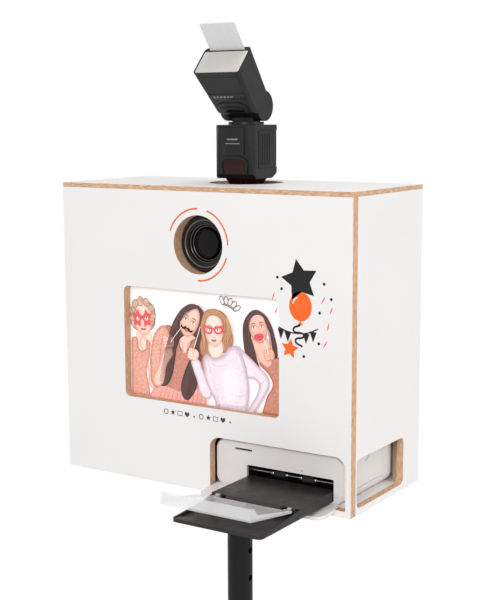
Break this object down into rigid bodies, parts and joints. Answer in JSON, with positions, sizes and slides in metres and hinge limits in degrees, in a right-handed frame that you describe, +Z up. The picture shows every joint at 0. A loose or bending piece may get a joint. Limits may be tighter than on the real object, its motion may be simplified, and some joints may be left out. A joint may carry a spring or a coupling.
{
  "type": "photo booth",
  "caption": "Photo booth on a telescopic mast: white board cabinet with touch screen, camera behind a round hole, photo printer with paper cassette, and a flash on top.",
  "frame": {"origin": "on the floor, on the axis of the mast, under the round base plate", "axes": "+Z up along the mast; the front face with lens, screen and printer faces -Y; +X is to the right seen from the front"},
  "size_m": [0.45, 0.4984, 1.7571],
  "materials": {
    "white_board": "white laminate on brown board, raw edges showing",
    "birch": "bare softwood strips",
    "black_steel": "satin black powder coat",
    "zinc_steel": "zinc plated",
    "black_plastic": "fine textured black plastic",
    "dark_plastic": "satin dark grey plastic",
    "white_plastic": "satin white plastic",
    "rubber": "black rubber",
    "screen_glass": "polished display glass",
    "lens_glass": "coated lens glass",
    "clear_smoke": "clear smoke acrylic",
    "red_window": "dark red clear plastic",
    "flash_panel": "ribbed clear flash panel",
    "grey_foam": "foam seal"
  },
  "bodies": {
    "stand": {"base_plate": "black_steel", "base_hub": "black_steel", "hub_bolts": "zinc_steel", "outer_mast": "black_steel", "clamp_collar": "black_steel"},
    "pole": {"inner_mast": "black_steel"},
    "door": {"rear_door": "white_board", "door_hardware": "zinc_steel"},
    "door_lock": {"lock_cam": "zinc_steel"},
    "switch": {"power_switch": "black_plastic"},
    "shutter": {"camera_shutter_button": "black_plastic"},
    "zoom_ring": {"lens_zoom_ring": "rubber"},
    "focus_ring": {"lens_focus_ring": "rubber"},
    "rollers": {"paper_rollers": "rubber"},
    "ribbon_door": {"ribbon_door": "white_plastic"},
    "printer_button": {"printer_power_button": "white_plastic"},
    "front_flap": {"printer_front_flap": "white_plastic"},
    "cassette": {"cassette_tray": "dark_plastic"},
    "cassette_cover": {"cassette_cover": "dark_plastic"},
    "paper_stop": {"paper_stop": "clear_smoke"},
    "flash_lock": {"flash_lock_ring": "black_plastic"},
    "flash_power": {"flash_power_button": "black_plastic"},
    "flash_test": {"flash_test_button": "black_plastic"},
    "battery_door": {"flash_battery_door": "black_plastic"},
    "flash_turret": {"flash_turret": "black_plastic"},
    "flash_head": {"flash_head": "black_plastic", "flash_lens_panel": "flash_panel"},
    "bounce_card": {"bounce_card": "clear_smoke"},
    "knob": {"clamp_knob": "black_plastic"},
    "index_pin": {"index_pin": "black_plastic"},
    "cabinet": {"back_frame": "white_board", "bottom_panel": "white_board", "cabinet_screws": "zinc_steel", "camera_body": "black_plastic", "camera_shelf": "white_board", "display_case": "black_plastic", "display_clips": "zinc_steel", "display_gasket": "grey_foam", "display_glass": "screen_glass", "flash_body": "black_plastic", "flash_foot": "red_window", "flash_red_window": "red_window", "front_panel": "white_board", "hinge_leaves_and_pins": "zinc_steel", "left_panel": "white_board", "lens_barrel": "black_plastic", "lens_collar": "white_board", "lens_front_ring": "black_plastic", "lens_glass": "lens_glass", "mini_computer": "black_plastic", "pole_socket": "black_steel", "power_inlet": "black_plastic", "power_supply": "black_plastic", "printer_fascia": "white_plastic", "printer_shell": "white_plastic", "printer_throat": "black_plastic", "ribbon_cartridge": "dark_plastic", "right_panel": "white_board", "top_panel": "white_board", "wood_strips": "birch"}
  },
  "joints": [
    {"name": "mast_height", "type": "slide", "parent": "stand", "child": "pole", "axis": [0, 0, 1], "range_m": [-0.24, 0.24]},
    {"name": "cabinet_swivel", "type": "hinge", "parent": "pole", "child": "cabinet", "pos_m": [0, 0, 1.15], "axis": [0, 0, 1], "continuous": true},
    {"name": "clamp_knob_turn", "type": "hinge", "parent": "stand", "child": "knob", "pos_m": [-0.038, 0, 0.856], "axis": [1, 0, 0], "continuous": true},
    {"name": "index_pin_push", "type": "slide", "parent": "stand", "child": "index_pin", "axis": [-1, 0, 0], "range_m": [0, 0.012]},
    {"name": "rear_door_hinge", "type": "hinge", "parent": "cabinet", "child": "door", "pos_m": [0.175, 0.0965, 1.348], "axis": [0, 0, -1], "range_deg": [0, 110]},
    {"name": "door_lock_turn", "type": "hinge", "parent": "door", "child": "door_lock", "pos_m": [-0.1535, 0.093, 1.348], "axis": [0, 1, 0], "range_deg": [0, 90]},
    {"name": "power_switch_rock", "type": "hinge", "parent": "cabinet", "child": "switch", "pos_m": [-0.105, 0.085, 1.178], "axis": [1, 0, 0], "range_deg": [-8, 8]},
    {"name": "shutter_press", "type": "slide", "parent": "cabinet", "child": "shutter", "axis": [0, 0, -1], "range_m": [0, 0.001], "stiffness_N_per_m": 400},
    {"name": "zoom_turn", "type": "hinge", "parent": "cabinet", "child": "zoom_ring", "pos_m": [0, -0.043, 1.4755], "axis": [0, 1, 0], "range_deg": [0, 75]},
    {"name": "focus_turn", "type": "hinge", "parent": "cabinet", "child": "focus_ring", "pos_m": [0, -0.066, 1.4755], "axis": [0, 1, 0], "range_deg": [0, 90]},
    {"name": "roller_spin", "type": "hinge", "parent": "cabinet", "child": "rollers", "pos_m": [0.13, -0.0695, 1.182], "axis": [1, 0, 0], "continuous": true},
    {"name": "ribbon_door_hinge", "type": "hinge", "parent": "cabinet", "child": "ribbon_door", "pos_m": [0.20475, -0.0195, 1.1741], "axis": [0, 1, 0], "range_deg": [0, 90]},
    {"name": "printer_button_press", "type": "slide", "parent": "cabinet", "child": "printer_button", "axis": [0, 0, -1], "range_m": [0, 0.0008], "stiffness_N_per_m": 400},
    {"name": "front_flap_hinge", "type": "hinge", "parent": "cabinet", "child": "front_flap", "pos_m": [0.112, -0.0857, 1.1604], "axis": [-1, 0, 0], "range_deg": [0, 2]},
    {"name": "cassette_slide", "type": "slide", "parent": "cabinet", "child": "cassette", "axis": [0, -1, 0], "range_m": [0, 0.06]},
    {"name": "cassette_cover_hinge", "type": "hinge", "parent": "cassette", "child": "cassette_cover", "pos_m": [0.13, -0.0775, 1.1742], "axis": [-1, 0, 0], "range_deg": [0, 35]},
    {"name": "paper_stop_hinge", "type": "hinge", "parent": "cassette_cover", "child": "paper_stop", "pos_m": [0.13, -0.1686, 1.1748], "axis": [-1, 0, 0], "range_deg": [0, 60]},
    {"name": "flash_lock_turn", "type": "hinge", "parent": "cabinet", "child": "flash_lock", "pos_m": [0, 0.02, 1.544], "axis": [0, 0, 1], "range_deg": [0, 60]},
    {"name": "flash_power_press", "type": "slide", "parent": "cabinet", "child": "flash_power", "axis": [0, -1, 0], "range_m": [0, 0.0008], "stiffness_N_per_m": 400},
    {"name": "flash_test_press", "type": "slide", "parent": "cabinet", "child": "flash_test", "axis": [0, -1, 0], "range_m": [0, 0.0008], "stiffness_N_per_m": 400},
    {"name": "battery_door_slide", "type": "slide", "parent": "cabinet", "child": "battery_door", "axis": [0, 1, 0], "range_m": [0, 0.008]},
    {"name": "flash_swivel", "type": "hinge", "parent": "cabinet", "child": "flash_turret", "pos_m": [0, 0.02, 1.627], "axis": [0, 0, 1], "range_deg": [-180, 90]},
    {"name": "flash_tilt", "type": "hinge", "parent": "flash_turret", "child": "flash_head", "pos_m": [0, 0.02, 1.652], "axis": [-1, 0, 0], "range_deg": [-25, 37]},
    {"name": "bounce_card_slide", "type": "slide", "parent": "flash_head", "child": "bounce_card", "axis": [0, 0.6018, -0.7986], "range_m": [0, 0.038]}
  ]
}
